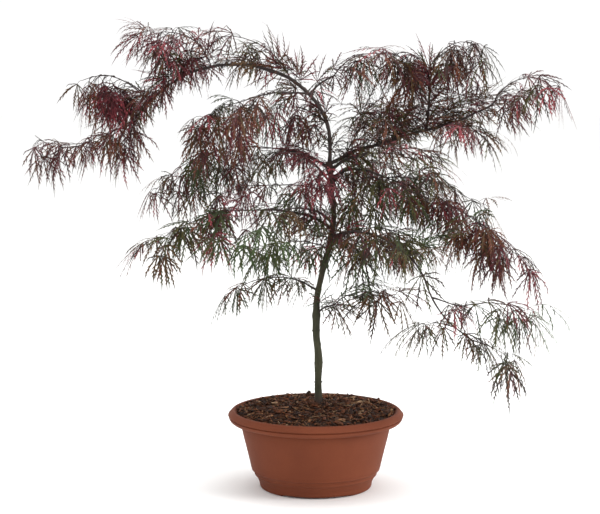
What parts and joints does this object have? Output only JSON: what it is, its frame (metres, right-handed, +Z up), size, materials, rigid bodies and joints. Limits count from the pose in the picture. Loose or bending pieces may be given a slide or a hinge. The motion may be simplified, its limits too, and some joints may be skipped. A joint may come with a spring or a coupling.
{
  "type": "potted weeping laceleaf maple",
  "caption": "Small weeping tree with finely cut bronze and green leaves on arching boughs, standing in a round terracotta-coloured plastic bowl of bark compost.",
  "frame": {"origin": "centre of the bowl's flat underside, where it meets the ground", "axes": "+Z up along the bowl's axis; +X towards the crown's long side that hangs low; +Y towards the back of the crown"},
  "size_m": [0.9279, 0.5464, 0.7814],
  "materials": {
    "bowl": "smooth moulded plastic, slightly satin",
    "compost": "moist bark-chip compost",
    "trunk_bark": "smooth young bark, olive grey with fine streaks",
    "bough_bark": "smooth, dark brown",
    "leaf_crimson": "matt leaf, crimson",
    "leaf_bronze": "matt leaf, bronze brown",
    "leaf_olive": "matt leaf, olive brown",
    "leaf_green": "matt leaf, dark green"
  },
  "bodies": {
    "root": {"back_left_bough": "bough_bark", "back_left_fan": "leaf_olive", "back_low_fan": "leaf_green", "back_right_bough": "bough_bark", "back_right_fan": "leaf_olive", "bowl": "bowl", "centre_front_fan": "leaf_crimson", "centre_right_fan": "leaf_olive", "compost": "compost", "crest_fan": "leaf_bronze", "drop_inner_fan": "leaf_olive", "drop_lower_fan": "leaf_olive", "drop_upper_fan": "leaf_olive", "front_left_bough": "bough_bark", "front_left_fan": "leaf_green", "front_right_bough": "bough_bark", "front_right_fan": "leaf_olive", "inner_right_bough": "bough_bark", "inner_right_fan": "leaf_bronze", "leader_arch": "bough_bark", "leader_rise": "bough_bark", "left_end_crest": "leaf_crimson", "left_end_skirt": "leaf_bronze", "left_high_bough": "bough_bark", "left_high_fan": "leaf_bronze", "left_high_inner": "leaf_bronze", "left_inner_green": "leaf_green", "left_low_bough": "bough_bark", "left_low_fan": "leaf_green", "left_lowest_bough": "bough_bark", "left_lowest_fan": "leaf_green", "left_middle_bough": "bough_bark", "left_middle_fan": "leaf_bronze", "left_third_fan": "leaf_olive", "left_tip": "leaf_crimson", "middle_right_fan": "leaf_bronze", "right_crest_bough": "bough_bark", "right_crest_fan": "leaf_bronze", "right_crest_inner": "leaf_bronze", "right_drop_bough": "bough_bark", "right_drop_branch": "bough_bark", "right_far_bough": "bough_bark", "right_far_fan": "leaf_crimson", "right_low_bough": "bough_bark", "right_low_fan": "leaf_green", "right_low_spray": "leaf_green", "right_lowest_bough": "bough_bark", "right_lowest_fan": "leaf_green", "right_middle_fan": "leaf_olive", "right_shoulder": "leaf_bronze", "right_shoulder_front": "leaf_bronze", "right_slope_bough": "bough_bark", "right_slope_fan": "leaf_crimson", "right_under_bough": "bough_bark", "right_under_fan": "leaf_bronze", "right_upper_bough": "bough_bark", "trunk": "trunk_bark", "upper_back_left": "leaf_bronze", "upper_back_right": "leaf_bronze", "upper_left_peak": "leaf_crimson"}
  },
  "joints": []
}
